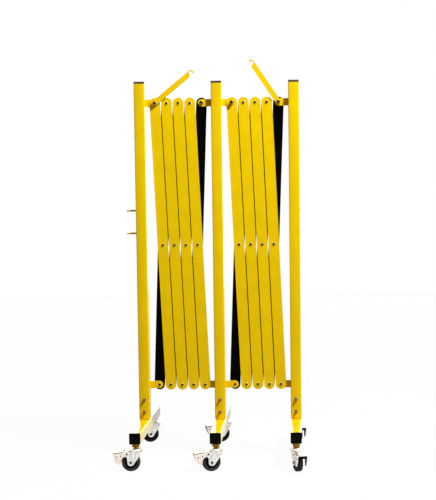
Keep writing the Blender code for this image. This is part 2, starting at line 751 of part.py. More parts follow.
def brake_shoe(plate_under):
    """The block under a pedal that meets the tread when the pedal is pressed down by its travel."""
    x, z = (share * WHEEL_RADIUS for share in PEDAL_PIVOT_SHARES)
    reach = WHEEL_RADIUS + SEAT_GAP
    face = []
    for along in (SHOE_FACE / 2, -SHOE_FACE / 2):
        spot = turned_point((reach, along), SHOE_ANGLE)
        face.append(turned_point((TRAIL - x + spot[0], WHEEL_RADIUS - z + spot[1]), PEDAL_TRAVEL))
    back = face[0][0] + SHOE_LENGTH
    outline = [face[0], face[1], (back, face[1][1]), (back, plate_under), (face[0][0], plate_under)]
    return upright(slab(outline, SHOE_WIDTH))


def pedal():
    """A brake pedal pressed from sheet. It straddles the fork, with an open mouth at its tip and a skirt
    that comes down behind the tread. Its origin is its pin, and it reaches along +X."""
    inner = LEG_OUTER + SEAT_GAP
    outer = inner + PEDAL_WALL
    lug = PEDAL_LUG_RADIUS
    fall = tan(radians(PEDAL_SLOPE))
    tip = lug - PEDAL_REACH * fall
    outline = arc((0, 0), lug, 90, 270, BAR_END_STEPS)
    outline += [(x * WHEEL_RADIUS, z * WHEEL_RADIUS) for x, z in PEDAL_SIDE_SHARES]
    skirt = [Vector((x * PEDAL_REACH, z * WHEEL_RADIUS)) for x, z in PEDAL_SKIRT_SHARES]
    outline += [tuple(corner) for corner in skirt]
    outline += [(PEDAL_REACH, tip - PEDAL_TIP_SHARE * WHEEL_RADIUS), (PEDAL_REACH, tip)]
    body = upright(slab(outline, 2 * outer))
    plate_start = (LEG_BACK_SHARES[-1][0] - PEDAL_PIVOT_SHARES[0]) * WHEEL_RADIUS + lug / 2
    past_tip = PEDAL_REACH + CUT_OVERRUN
    low = PEDAL_SIDE_SHARES[-1][1] * WHEEL_RADIUS - CUT_OVERRUN
    mouth = PEDAL_MOUTH_SHARE * WHEEL_RADIUS
    inside = [corner - corner.normalized() * PEDAL_WALL for corner in skirt]
    void = [
        (-2 * lug, 2 * lug),
        (-2 * lug, low),
        (inside[0].x - PEDAL_LIP, low),
        (inside[0].x - PEDAL_LIP, inside[0].y),
        *[tuple(corner) for corner in inside],
        (inside[-1].x, mouth),
        (past_tip, mouth),
        (past_tip, lug - PEDAL_WALL - past_tip * fall),
        (plate_start, lug - PEDAL_WALL - plate_start * fall),
        (plate_start, 2 * lug),
    ]
    body = cut(body, upright(slab(void, 2 * inner)))
    pin_inner = LEG_INNER + SEAT_GAP
    length = outer - PEDAL_WALL / 2 - pin_inner
    pins = []
    for side in (-1, 1):
        pin = slab(circle((0, 0), PEDAL_PIN_RADIUS, RIVET_STEPS), length)
        pins.append(moved(upright(pin), (0, side * (pin_inner + length / 2), 0)))
    shoe = brake_shoe(lug - PEDAL_WALL / 2 - (plate_start + SHOE_LENGTH) * fall)
    return joined(body, gathered(pins), shoe)


def add_caster(name, spot, yaw):
    """A braked caster under an empty on its stem. yaw is the way that it trails."""
    pivot = [share * WHEEL_RADIUS for share in PEDAL_PIVOT_SHARES]
    stem = add_empty(f"{name}_swivel", spot, (0, 0, radians(yaw)))
    add_part(f"{name}_fork", fork(), FINISH["zinc"], parent=stem)
    add_part(f"{name}_wheel", wheel(), FINISH["rubber"], (TRAIL, 0, WHEEL_RADIUS), parent=stem)
    add_part(f"{name}_brake_pedal", pedal(), FINISH["zinc"], (pivot[0], 0, pivot[1]), parent=stem)


def add_post(name, x, strap_ends, bored=()):
    """A post on its foot, with its cap, foot plugs, top strap and casters."""
    sides = [copysign(1, x_end) for x_end, _ in strap_ends]
    add_part(f"{name}_post", post(sides, bored), FINISH["yellow"], (x, 0, POST_BOTTOM))
    add_part(f"{name}_post_cap", tube_plug(), FINISH["plastic"], (x, 0, POST_TOP))
    add_part(f"{name}_top_strap", top_strap(strap_ends), FINISH["yellow"], (x, 0, TOP_PIVOT))
    add_part(f"{name}_foot", foot(sides), FINISH["yellow"], (x, 0, FOOT_TOP))
    for place, side in (("front", -1), ("rear", 1)):
        end = (x, side * FOOT_LENGTH / 2, FLOOR_TO_FOOT + TUBE_SIZE / 2)
        facing = (-side * pi / 2, 0, 0)
        add_part(f"{name}_foot_{place}_plug", tube_plug(), FINISH["plastic"], end, facing)
        add_caster(f"{name}_{place}", (x, side * STEM_Y, 0), CASTER_YAWS[name][place])


def add_bar(name, mesh, finish, pivot, lean):
    add_part(name, mesh, FINISH[finish], pivot, (0, radians(lean), 0))


def add_lattice(side):
    """One scissor lattice. Bars are counted from the middle post, and turn on the pivot nearer to it."""
    right = side == "right"
    ends = ("top", "bottom") if right else ("bottom", "top")
    open_ends = {0: ends[0], CROSSINGS - 1: ends[1]}
    for i in range(CROSSINGS):
        near, far = pivot_x(side, i), pivot_x(side, i + 1)
        at = {"top": (near, 0, TOP_PIVOT), "middle": ((near + far) / 2, 0, (TOP_PIVOT + BOTTOM_PIVOT) / 2)}
        hinge, other = ("top", "middle") if right else ("middle", "top")
        front = yellow_bar(hinge, open_ends.get(i))
        add_bar(f"{side}_yellow_bar_{i + 1}", front, "yellow", at[hinge], -FOLDED_ANGLE)
        add_bar(f"{side}_black_bar_{i + 1}", black_bar(other), "black", at[other], FOLDED_ANGLE)
    outward = SIDES[side]
    for name, crossing, reach, bar_in_front in (
        ("inner", 0, outward, not right),
        ("outer", CROSSINGS, -outward, right),
    ):
        pivot = (pivot_x(side, crossing), 0, BOTTOM_PIVOT)
        strap = sliding_strap(reach, bar_in_front)
        add_part(f"{side}_{name}_sliding_strap", strap, FINISH["yellow"], pivot)


def add_latch_hook(side, angle):
    """A latch hook on its bolt, raised from level by the angle."""
    inward = -SIDES[side]
    pivot = (pivot_x(side, CROSSINGS), 0, TOP_PIVOT)
    raised = (0, -inward * radians(angle), 0)
    add_part(f"{side}_latch_hook", latch_hook(inward), FINISH["yellow"], pivot, raised)


add_post("middle", 0, [(PIVOT_REACH, True), (-PIVOT_REACH, False)])
add_post("left", -POST_SPACING, [(PIVOT_REACH, True)], bored=(-1,))
add_post("right", POST_SPACING, [(-PIVOT_REACH, False)], bored=(1,))
for lattice in SIDES:
    add_lattice(lattice)
    add_latch_hook(lattice, HOOK_ANGLES[lattice])
add_part("coupling_pins", coupling_pins(), FINISH["yellow"], (-POST_SPACING, 0, POST_BOTTOM))
bpy.context.view_layer.update()
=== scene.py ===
# Expandable safety barrier: yellow posts on wheeled feet, joined by two lattices of yellow and black slats.
from math import asin, cos, degrees, pi, radians, tan

import bmesh
import bpy
from mathutils import Euler, Matrix, Vector


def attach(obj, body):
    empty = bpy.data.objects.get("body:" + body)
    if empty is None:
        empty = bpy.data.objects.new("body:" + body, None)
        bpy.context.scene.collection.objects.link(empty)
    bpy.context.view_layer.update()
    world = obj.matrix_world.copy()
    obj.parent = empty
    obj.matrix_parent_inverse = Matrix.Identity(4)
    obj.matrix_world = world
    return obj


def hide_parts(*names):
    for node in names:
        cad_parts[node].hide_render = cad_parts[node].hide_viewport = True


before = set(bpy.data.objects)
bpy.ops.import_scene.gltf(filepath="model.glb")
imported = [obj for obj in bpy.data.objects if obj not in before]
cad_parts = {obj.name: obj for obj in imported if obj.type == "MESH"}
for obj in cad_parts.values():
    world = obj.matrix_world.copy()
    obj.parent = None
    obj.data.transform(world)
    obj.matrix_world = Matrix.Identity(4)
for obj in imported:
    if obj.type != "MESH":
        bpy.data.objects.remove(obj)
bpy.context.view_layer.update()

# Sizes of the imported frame, in metres
TUBE, WALL, CORNER = 0.030, 0.0015, 0.0025
POST_LENGTH, FOOT_LENGTH = 0.950, 0.394
SEAT_GAP = 0.0003
BAR_LENGTH, BAR_WIDTH, BAR_THICKNESS, BAR_PITCH = 0.796, 0.030, 0.002, 0.0327
STRAP_REACH, STRAP_HEIGHT, STRAP_THICKNESS = 0.0275, 0.0205, 0.0025
SLOT_WIDTH = STRAP_THICKNESS + 2 * 0.0005
CROSSINGS = 4
OPEN_ANGLE = radians(36.5)
FOLDED_ANGLE = asin(BAR_PITCH / BAR_LENGTH)
PIVOT_REACH = TUBE / 2 + STRAP_REACH
POST_SPACING = 2 * PIVOT_REACH + CROSSINGS * BAR_PITCH
FOOT_BOTTOM = 0.0755
FOOT_TOP = FOOT_BOTTOM + TUBE
POST_BOTTOM = FOOT_TOP + SEAT_GAP
POST_TOP = POST_BOTTOM + POST_LENGTH
TOP_PIVOT = POST_TOP - 0.056
LOW_PIVOT = TOP_PIVOT - BAR_LENGTH * cos(FOLDED_ANGLE)
MID_PIVOT = (TOP_PIVOT + LOW_PIVOT) / 2
SLIDE = BAR_LENGTH * (cos(FOLDED_ANGLE) - cos(OPEN_ANGLE))
SLIDE_END_ROOM = 0.002
STEM_Y = FOOT_LENGTH / 2 - 0.014
SPIGOT_HEIGHT, SPIGOT_WALL = 0.075, 0.002
PLUG_FLANGE, PLUG_DEPTH = 0.003, 0.012
BOLT_HEIGHTS = (0.022, 0.057)
PIN_HEIGHTS = (0.636, 0.700)
PIN_BORE_RADIUS = 0.003
GLIDE_SIZE = (0.0075, 0.0198, 0.030)
GLIDE_REACH = STRAP_REACH + 0.0041 + GLIDE_SIZE[0] / 2

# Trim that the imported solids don't have: a dark line under each post, and caps that reach further down
SHADOW_GAP, CAP_RIM = 0.0013, 0.0028

# Layers of the lattice, as distances from its middle plane, the same in front and behind
STRAP_FACE = STRAP_THICKNESS / 2
BAR_BACK = STRAP_FACE + SEAT_GAP
BAR_FACE = BAR_BACK + BAR_THICKNESS
RIVET_SEAT = BAR_FACE + SEAT_GAP
HEAD_HEIGHT = 0.0016
HOOK_THICKNESS = 0.002
HOOK_BACK = BAR_FACE + HEAD_HEIGHT + SEAT_GAP
HOOK_FACE = HOOK_BACK + HOOK_THICKNESS
STUD_SEAT = HOOK_FACE + SEAT_GAP
STUD_TOP = STUD_SEAT + 0.0045

# Rivets and pivot bolts: their heads are hollow, with a dark disc of painted shade as wide as the mouth, for
# the dark of a deep bore
RIVET_RADIUS, SHANK_RADIUS = 0.0045, 0.003
MOUTH, MOUTH_DEPTH = 0.0032, 0.0015
ROUND_HEAD_STEPS = 28

# Where the posts stand along X, and on which of their sides a lattice hangs
POSTS = {"left": -POST_SPACING, "middle": 0.0, "right": POST_SPACING}
LATTICE_SIDES = {"middle": (1, -1), "left": (1,), "right": (-1,)}
SIDES = {"left": -1, "right": 1}
HOOK_ANGLES = {"left": radians(39), "right": radians(56)}
# How far each caster is turned about its stem at rest, in degrees
YAWS = {
    "left_front": 182, "left_rear": 197, "middle_front": 195,
    "middle_rear": 200, "right_front": 286, "right_rear": 286,
}

# Casters, each built about the floor under its stem, with its wheel toward +X
LEG_OUTER, LEG_WALL, FORK_FALL = 0.0119, 0.0018, 0.233
WHEEL_RADIUS, TRAIL = 0.025, 0.013
TYRE_HALF, HUB_HALF, WEB_HALF = 0.009, 0.0095, 0.0045
CROWN_TOP = 0.0622
PEDAL_PIN_X, PEDAL_PIN_Z = 0.023, 0.048
PEDAL_WALL, PEDAL_OUTER, PEDAL_LUG, PEDAL_REACH = 0.0015, 0.0137, 0.0045, 0.038
PEDAL_TIP = PEDAL_LUG - PEDAL_REACH * tan(radians(1))
TREAD_START, TREAD_CREST = 0.0107, 0.0072
TREAD_SLOPE = (TREAD_CREST - PEDAL_TIP) / (PEDAL_REACH - TREAD_START)

# How finely shapes are rounded, and where they count as sharp
ROUND_STEPS = 10
SPIN_STEPS = 40
WELD = 0.00001
SHARP = radians(50)
SHEET_EDGE = 0.0004


def linear(code):
    """A colour written as sRGB hex, as linear red, green, blue and alpha."""
    parts = [int(code[i:i + 2], 16) / 255 for i in (1, 3, 5)]
    return (*[c / 12.92 if c <= 0.04045 else ((c + 0.055) / 1.055) ** 2.4 for c in parts], 1)


# Materials

def node(tree, kind, settings=None, links=None, tones=()):
    """Adds a node with its settings, values and ramp tones, and links its inputs to other outputs."""
    made = tree.nodes.new(kind)
    for name, value in (settings or {}).items():
        if isinstance(name, str) and hasattr(made, name):
            setattr(made, name, value)
        else:
            made.inputs[name].default_value = value
    for name, source in (links or {}).items():
        tree.links.new(source, made.inputs[name])
    for number, (spot, code) in enumerate(tones):
        marks = made.color_ramp.elements
        mark = marks[number] if number < len(marks) else marks.new(spot)
        mark.position = spot
        mark.color = linear(code)
    return made


def finish(name, **values):
    """An empty finish: its tree, its shader and the object's own coordinates."""
    made = bpy.data.materials.new(name)
    made.use_nodes = True
    tree = made.node_tree
    shader = tree.nodes["Principled BSDF"]
    for socket, value in values.items():
        shader.inputs[socket.replace("_", " ")].default_value = value
    place = node(tree, "ShaderNodeTexCoord").outputs["Object"]
    return made, tree, shader, place


def grain(tree, place, size, detail, stretch=(1, 1, 1)):
    """Noise whose grains are about that many metres wide."""
    spread = node(tree, "ShaderNodeMapping", {"Scale": stretch}, {"Vector": place})
    scale = {"Scale": 1 / size, "Detail": detail}
    made = node(tree, "ShaderNodeTexNoise", scale, {"Vector": spread.outputs[0]})
    return made.outputs["Fac"]


def dress(tree, shader, tone, rough, bump):
    """Gives a shader its tone, its roughness and its relief."""
    for socket, source in (("Base Color", tone), ("Roughness", rough), ("Normal", bump)):
        tree.links.new(source.outputs[0], shader.inputs[socket])


def powder_coat(name, thin, even, thick, gloss, peel_depth=0.1):
    """Powder coat baked on steel: faint orange peel, and a slightly thinner tone in patches."""
    made, tree, shader, place = finish(name, Roughness=0.16, Specular_IOR_Level=gloss)
    # The peel is 1.6 mm wide where real peel is about 1 mm, so that it shows at this distance.
    peel = grain(tree, place, 0.0016, 3)
    # Patches 50 mm wide, about a spray gun's pass.
    cloud = grain(tree, place, 0.05, 3)
    tone = node(tree, "ShaderNodeValToRGB", links={0: cloud}, tones=((0.3, thin), (0.5, even), (0.7, thick)))
    rough = node(tree, "ShaderNodeMapRange", {"To Min": 0.12, "To Max": 0.2}, {0: cloud})
    bump = node(tree, "ShaderNodeBump", {"Strength": peel_depth, "Distance": 0.00005}, {"Height": peel})
    dress(tree, shader, tone, rough, bump)
    return made


def moulded_plastic(name, dark, light, rough, gloss):
    """Moulded polymer with a fine spark-eroded grain."""
    made, tree, shader, place = finish(name, Roughness=rough, Specular_IOR_Level=gloss)
    # The grain is 0.6 mm wide where real spark erosion is about 0.1 mm, so that it shows at this distance.
    spark = grain(tree, place, 0.0006, 2)
    # Flow marks 12 mm wide.
    cloud = grain(tree, place, 0.012, 3)
    tone = node(tree, "ShaderNodeValToRGB", links={0: cloud}, tones=((0.35, dark), (0.65, light)))
    wear = node(tree, "ShaderNodeMapRange", {"To Min": rough - 0.08, "To Max": rough + 0.1}, {0: spark})
    bump = node(tree, "ShaderNodeBump", {"Strength": 0.3, "Distance": 0.00008}, {"Height": spark})
    dress(tree, shader, tone, wear, bump)
    return made


def plated_steel(name, dull, bright, rough, blotch):
    """Electroplated steel: cloudy passivated patches over faint rolling lines."""
    made, tree, shader, place = finish(name, Metallic=1.0, Roughness=rough)
    cloud = grain(tree, place, blotch, 4)
    # The lines are 0.6 mm apart where real ones are about 0.1 mm, so that they show at this distance.
    lines = grain(tree, place, 0.0006, 2, (1, 0.15, 1))
    tone = node(tree, "ShaderNodeValToRGB", links={0: cloud}, tones=((0.3, dull), (0.7, bright)))
    wear = node(tree, "ShaderNodeMapRange", {"To Min": rough + 0.1, "To Max": rough - 0.06}, {0: cloud})
    bump = node(tree, "ShaderNodeBump", {"Strength": 0.15, "Distance": 0.00005}, {"Height": lines})
    dress(tree, shader, tone, wear, bump)
    return made


# Powder baked dry: an even, warm yellow that hardly shines and keeps its colour in the light.
YELLOW = powder_coat("yellow_powder_coat", "#e8b600", "#ecba00", "#f0be00", 0.07)
# Powder that flowed out smooth: steep sides mirror the bright floor and turn nearly white.
FOOT_YELLOW = powder_coat("smooth_yellow_powder_coat", "#e7b800", "#ebbc00", "#efc000", 0.7, 0.015)
# Yellow powder coat on the stem bosses, painted a darker brown yellow as painted shade from the foot above
# them.
BOSS_YELLOW_PAINTED_SHADE = powder_coat("painted_shade_dark_yellow_powder_coat", "#a87200", "#b47c00", "#c08600", 0.1)
# Black powder: a flat black in which no edge shines.
BLACK = powder_coat("black_powder_coat", "#020202", "#040404", "#070707", 0.01)
# Spark-eroded black plastic: matt and even, a little softer than the black slats.
PLASTIC = moulded_plastic("moulded_black_plastic", "#020302", "#070807", 0.42, 0.04)
# Shinier black caps, whose tops mirror the bright wall at a low angle, and whose colour is painted a lighter
# warm brown as painted sheen: a warm, lighter line above each post.
CAP_PLASTIC_WITH_PAINTED_SHEEN = moulded_plastic("polished_black_cap_plastic_with_painted_warm_sheen", "#3a2811", "#4e3818", 0.24, 0.5)
# Moulded rubber: a dull, warm grey ring round the darker hub.
TYRE = moulded_plastic("moulded_grey_tyre_rubber", "#2e2f32", "#413a37", 0.6, 0.12)
# Moulded nylon: a black dish with a soft light on its rim.
HUB = moulded_plastic("moulded_dark_hub_nylon", "#040404", "#0b0b0b", 0.45, 0.06)
# Bright zinc: a pale, cloudy metal that picks up the white studio.
ZINC = plated_steel("bright_zinc_plated_sheet", "#c4c1bd", "#fefdfb", 0.34, 0.007)
# Zinc with a warm passivation: pedals that nearly fade into the white background.
PEDAL_ZINC = plated_steel("warm_zinc_plated_pedal_sheet", "#e2cfc3", "#fff6ee", 0.38, 0.006)
# Yellow passivation on rolled rivet heads: a small pale rim round a dark bore.
RIVET = plated_steel("yellow_passivated_rivet_steel", "#bfa45c", "#f2dfa6", 0.3, 0.003)
# Yellow passivation on turned bolts: brown heads, darker than the rivets.
STUD = plated_steel("yellow_passivated_bolt_steel", "#6b5a2c", "#a89256", 0.34, 0.003)
# Dull zinc: brown grey nuts and bolt ends that stand out from the yellow.
FOOT_BOLT = plated_steel("dull_zinc_plated_bolt_steel", "#4f463c", "#857a6c", 0.36, 0.003)
# Blackened steel: dark nuts and pins on the pale casters, and thin strips of painted shade along the fork's
# roof and under the pedal's tread.
DARK_STEEL_AND_PAINTED_SHADE = plated_steel("blackened_fastener_steel_and_painted_shade", "#2c2722", "#4a423a", 0.4, 0.003)
# Painted shade for the inside of a deep bore: a nearly black metal disc.
BORE = plated_steel("painted_shade_rivet_bore", "#0a0705", "#1c1208", 0.5, 0.002)


# Shapes

def settle(bm, shape, place=None):
    """Closes a shape, turns it outward, and adds it to a piece at its place."""
    bmesh.ops.remove_doubles(shape, verts=shape.verts, dist=WELD)
    bmesh.ops.recalc_face_normals(shape, faces=shape.faces)
    if place is not None:
        bmesh.ops.transform(shape, matrix=place, verts=shape.verts)
    mesh = bpy.data.meshes.new("shape")
    shape.to_mesh(mesh)
    shape.free()
    bm.from_mesh(mesh)
    bpy.data.meshes.remove(mesh)


def at(x=0.0, y=0.0, z=0.0, turn=(0, 0, 0)):
    """A place for a shape: a turn in degrees, then a move."""
    return Matrix.Translation((x, y, z)) @ Euler([radians(a) for a in turn]).to_matrix().to_4x4()


def rounded(bm, edges, size, segments):
    """Rounds edges over the same width on both of their faces."""
    bmesh.ops.bevel(
        bm, geom=edges, offset=size, offset_type="OFFSET", segments=segments, profile=0.5,
        affect="EDGES", material=-1, clamp_overlap=True,
    )


def runs_along(edge, axis):
    """Whether an edge runs along X, Y or Z (0, 1 or 2)."""
    way = edge.verts[1].co - edge.verts[0].co
    return abs(way[axis]) > 0.999 * way.length


def block(bm, size, place=None, edges=0.0, axis=None, segments=3):
    """A block about its place, with the edges along one axis, or all of them, rounded."""
    shape = bmesh.new()
    bmesh.ops.create_cube(shape, size=1)
    bmesh.ops.scale(shape, vec=size, verts=shape.verts)
    if edges:
        rounded(shape, [e for e in shape.edges if axis is None or runs_along(e, axis)], edges, segments)
    settle(bm, shape, place)


def turned(bm, profile, place=None, steps=SPIN_STEPS):
    """A lathe shape about Z from (radius, height) points."""
    shape = bmesh.new()
    points = [shape.verts.new((radius, 0, height)) for radius, height in profile]
    line = [shape.edges.new(pair) for pair in zip(points, points[1:])]
    bmesh.ops.spin(
        shape, geom=points + line, cent=(0, 0, 0), axis=(0, 0, 1), angle=2 * pi, steps=steps, use_merge=True,
    )
    settle(bm, shape, place)


def sheet_face(bm, corners, y=0.0):
    """A flat face in the XZ plane from (x, z, run) corners, each rounded over its run."""
    points = [bm.verts.new((x, y, z)) for x, z, _ in corners]
    bm.faces.new(points)
    for point, (_, _, run) in zip(points, corners):
        if run:
            bmesh.ops.bevel(
                bm, geom=[point], offset=run, offset_type="OFFSET", segments=ROUND_STEPS // 2 + 1,
                profile=0.5, affect="VERTICES", material=-1, clamp_overlap=True,
            )


def plate(bm, corners, thickness, place=None):
    """A flat plate upright in the XZ plane, its thickness centred on it."""
    shape = bmesh.new()
    sheet_face(shape, corners, -thickness / 2)
    made = bmesh.ops.extrude_face_region(shape, geom=list(shape.faces))
    lifted = [v for v in made["geom"] if isinstance(v, bmesh.types.BMVert)]
    bmesh.ops.translate(shape, verts=lifted, vec=(0, thickness, 0))
    settle(bm, shape, place)


def strip_corners(x_from, x_to, height, round_from=True, round_to=True):
    """Corners of a level strip with half-round ends."""
    half = height / 2
    near = half * 0.999 if round_from else 0
    far = half * 0.999 if round_to else 0
    return [(x_from, -half, near), (x_to, -half, far), (x_to, half, far), (x_from, half, near)]


def square_tube(bm, length, size, corner, place=None):
    """The outer skin of a square tube along Z, open at both ends."""
    block(bm, (size, size, length), None, corner, 2, 4)
    bmesh.ops.delete(bm, geom=[f for f in bm.faces if abs(f.normal.z) > 0.9], context="FACES")
    if place is not None:
        bmesh.ops.transform(bm, matrix=place, verts=bm.verts)


def opening(bm, side, low, high, half=SLOT_WIDTH / 2):
    """Cuts an upright slot through the skin on the +X or -X side."""
    across, up = (0, 1, 0), (0, 0, 1)
    cuts = (((0, half, 0), across), ((0, -half, 0), across), ((0, 0, low), up), ((0, 0, high), up))
    for point, normal in cuts:
        wall = [f for f in bm.faces if f.normal.x * side > 0.99]
        geom = {g for f in wall for g in (f, *f.edges, *f.verts)}
        bmesh.ops.bisect_plane(bm, geom=list(geom), dist=WELD, plane_co=point, plane_no=normal)
    gone = []
    for face in bm.faces:
        middle = face.calc_center_median()
        if face.normal.x * side > 0.99 and abs(middle.y) < half and low < middle.z < high:
            gone.append(face)
    bmesh.ops.delete(bm, geom=gone, context="FACES")


def round_opening(bm, side, x, z, radius):
    """Cuts a round bore through the skin on the +X or -X side."""
    reach = radius * 1.6
    opening(bm, side, z - reach, z + reach, reach)

    def near_bore(spot):
        return spot.x * side > 0 and abs(spot.z - z) < reach * 1.01 and abs(spot.y) < reach * 1.01

    rim = [e for e in bm.edges if e.is_boundary and all(near_bore(v.co) for v in e.verts)]
    split = bmesh.ops.subdivide_edges(bm, edges=rim, cuts=3)
    rim = [e for e in split["geom_inner"] if isinstance(e, bmesh.types.BMEdge)] + rim
    rim = list({e for e in rim if e.is_valid and e.is_boundary})
    turn = Matrix.Translation((x, 0, z)) @ Matrix.Rotation(side * pi / 2, 4, "Y")
    ring = bmesh.ops.create_circle(bm, segments=16, radius=radius, matrix=turn)["verts"]
    hoop = list({e for v in ring for e in v.link_edges})
    bmesh.ops.bridge_loops(bm, edges=rim + hoop)


def piece(name, bm, material, body, stands_for=(), wall=0.0, edge=0.0002, place=None):
    """Makes a shape a piece of the barrier: its place, sheet walls, soft edges, finish and body."""
    if place is not None:
        bmesh.ops.transform(bm, matrix=place, verts=bm.verts)
    mesh = bpy.data.meshes.new(name)
    bmesh.ops.recalc_face_normals(bm, faces=bm.faces)
    bm.to_mesh(mesh)
    bm.free()
    mesh.materials.append(material)
    obj = bpy.data.objects.new(name, mesh)
    bpy.context.scene.collection.objects.link(obj)
    if wall:
        thick = obj.modifiers.new("sheet", "SOLIDIFY")
        thick.thickness = wall
        thick.offset = -1
        thick.use_even_offset = True
    if edge:
        soft = obj.modifiers.new("edges", "BEVEL")
        soft.width = edge
        soft.segments = 2
        soft.limit_method = "ANGLE"
        soft.angle_limit = SHARP
        soft.harden_normals = True
    mesh.shade_smooth()
    if not edge:
        mesh.set_sharp_from_angle(angle=SHARP)
    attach(obj, body)
    if stands_for:
        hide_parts(*stands_for)

# Posts and feet

FRONT = at(turn=(90, 0, 0))
BACK = at(turn=(-90, 0, 0))


def head_profile(radius, crown, seat, height, hollow=0.0):
    """From the seat out to the top of a rivet head, with an open shank where it is hollow."""
    top = seat + height
    rise = [
        (radius, seat), (radius * 0.97, seat + height * 0.35),
        ((radius + crown) / 2, seat + height * 0.85), (crown, top),
    ]
    if hollow:
        mouth = [(hollow * 1.08, top), (hollow, top - height * 0.25), (hollow * 0.96, top - MOUTH_DEPTH)]
        return rise + mouth
    return rise + [(crown / 2, top + height * 0.06), (0, top + height * 0.08)]


def make_post(post):
    """A square tube, slotted for its straps and bored on the right post for coupling pins, with its cap."""
    body = f"{post}_upright"
    base = POST_BOTTOM + POST_LENGTH / 2
    reach = STRAP_HEIGHT / 2 + SEAT_GAP
    bm = bmesh.new()
    square_tube(bm, POST_LENGTH - SHADOW_GAP - CAP_RIM, TUBE, CORNER, at(z=(SHADOW_GAP - CAP_RIM) / 2))
    for side in LATTICE_SIDES[post]:
        opening(bm, side, -POST_LENGTH, LOW_PIVOT + SLIDE + STRAP_HEIGHT / 2 + SLIDE_END_ROOM - base)
        opening(bm, side, TOP_PIVOT - reach - base, TOP_PIVOT + reach - base)
    if post == "right":
        for height in PIN_HEIGHTS:
            round_opening(bm, 1, TUBE / 2, height - base, PIN_BORE_RADIUS)
    place = at(POSTS[post], 0, base)
    piece(f"{post}_post_tube", bm, YELLOW, body, [f"{post}_post"], WALL, place=place)

    bm = bmesh.new()
    plug(bm, at(POSTS[post], 0, POST_TOP), CAP_RIM)
    piece(f"{post}_cap", bm, CAP_PLASTIC_WITH_PAINTED_SHEEN, body, [f"{post}_post_cap"])


def plug(bm, place, rim=0.0):
    """A square tube plug that points up Z: a flange, whose rim reaches down past the place, and a core."""
    flange = PLUG_FLANGE + rim
    block(bm, (TUBE, TUBE, flange), place @ at(z=SEAT_GAP - rim + flange / 2), CORNER, 2, 4)
    core = TUBE - 2 * WALL - 2 * SEAT_GAP
    block(bm, (core, core, PLUG_DEPTH), place @ at(z=2 * SEAT_GAP - PLUG_DEPTH / 2), WALL, 2, 2)


def make_foot(post):
    """A cross tube with a spigot for the post, two stem bosses, the post's bolts and two plugs."""
    body = f"{post}_upright"
    x = POSTS[post]
    bm = bmesh.new()
    square_tube(bm, FOOT_LENGTH, TUBE, CORNER, at(x, 0, FOOT_TOP - TUBE / 2, (90, 0, 0)))
    piece(f"{post}_foot_tube", bm, FOOT_YELLOW, body, [f"{post}_foot"], WALL)
    make_spigot(post, x, body)
    make_stem_bosses(post, x, body)
    make_post_bolts(post, x, body)
    for end, way in (("front", -1), ("rear", 1)):
        bm = bmesh.new()
        plug(bm, at(x, way * FOOT_LENGTH / 2, FOOT_TOP - TUBE / 2, (-way * 90, 0, 0)))
        piece(f"{post}_{end}_end_plug", bm, PLASTIC, body, [f"{post}_foot_{end}_plug"])


def make_spigot(post, x, body):
    """The inner square tube on the foot, open where the straps slide."""
    bm = bmesh.new()
    square_tube(bm, SPIGOT_HEIGHT, TUBE - 2 * WALL - 2 * SEAT_GAP, WALL)
    for side in LATTICE_SIDES[post]:
        opening(bm, side, -SPIGOT_HEIGHT, SPIGOT_HEIGHT)
    place = at(x, 0, FOOT_TOP + SPIGOT_HEIGHT / 2)
    piece(f"{post}_spigot", bm, YELLOW, body, wall=SPIGOT_WALL, place=place)


def make_stem_bosses(post, x, body):
    """Two round bosses under the foot, each with a bore for a caster's stem."""
    profile = [
        (0, 0), (0.0112, 0), (0.0105, -0.0012), (0.0101, -0.0088), (0.0092, -0.0102), (0.0065, -0.0108),
        (0.0065, -0.0125), (0.006, -0.013), (0.0043, -0.013), (0.0043, -0.004), (0, -0.004),
    ]
    bm = bmesh.new()
    for way in (-1, 1):
        turned(bm, profile, at(x, way * STEM_Y, FOOT_BOTTOM))
    # The bosses' brown yellow is painted shade from the foot above them.
    piece(f"{post}_stem_bosses", bm, BOSS_YELLOW_PAINTED_SHADE, body)


def make_post_bolts(post, x, body):
    """Two bolts through the post and its spigot: a nut and a threaded end in front, a hexagon head behind."""
    seat = TUBE / 2 + SEAT_GAP
    nut_and_thread = [
        (0, 0), (0.0028, 0), (0.0028, seat), (0.0045, seat), (0.0045, seat + 0.0028), (0.0041, seat + 0.0032),
        (0.0028, seat + 0.0032), (0.0028, seat + 0.0066), (0.0023, seat + 0.0071), (0, seat + 0.0071),
    ]
    head = [
        (0, 0), (0.003, 0), (0.003, seat), (0.0055, seat), (0.0055, seat + 0.003), (0.005, seat + 0.0035),
        (0, seat + 0.0035),
    ]
    bm = bmesh.new()
    for height in BOLT_HEIGHTS:
        spot = at(x, 0, POST_BOTTOM + height)
        turned(bm, nut_and_thread, spot @ FRONT, 12)
        turned(bm, head, spot @ BACK, 6)
    piece(f"{post}_post_bolts", bm, FOOT_BOLT, body)


def make_coupling_pins():
    """Two pins with collars on a strip inside the left post, which reach out to the next barrier."""
    x = POSTS["left"]
    pin = [
        (0, 0.0117), (0.0025, 0.0117), (0.0025, 0.0405), (0.0022, 0.0418), (0.0015, 0.0427), (0.0008, 0.043),
        (0, 0.043),
    ]
    collar = [(0.0025, 0.015), (0.0034, 0.015), (0.003, 0.0157), (0.0025, 0.016), (0.0025, 0.015)]
    bm = bmesh.new()
    for height in PIN_HEIGHTS:
        outward = at(x, 0, height, (0, -90, 0))
        turned(bm, pin, outward, 24)
        turned(bm, collar, outward, 24)
    block(bm, (0.002, 0.018, 0.088), at(x - 0.0122, 0, sum(PIN_HEIGHTS) / 2))
    piece("coupling_pin_pair", bm, YELLOW, "left_upright", ["coupling_pins"], edge=0.0)


# Lattices

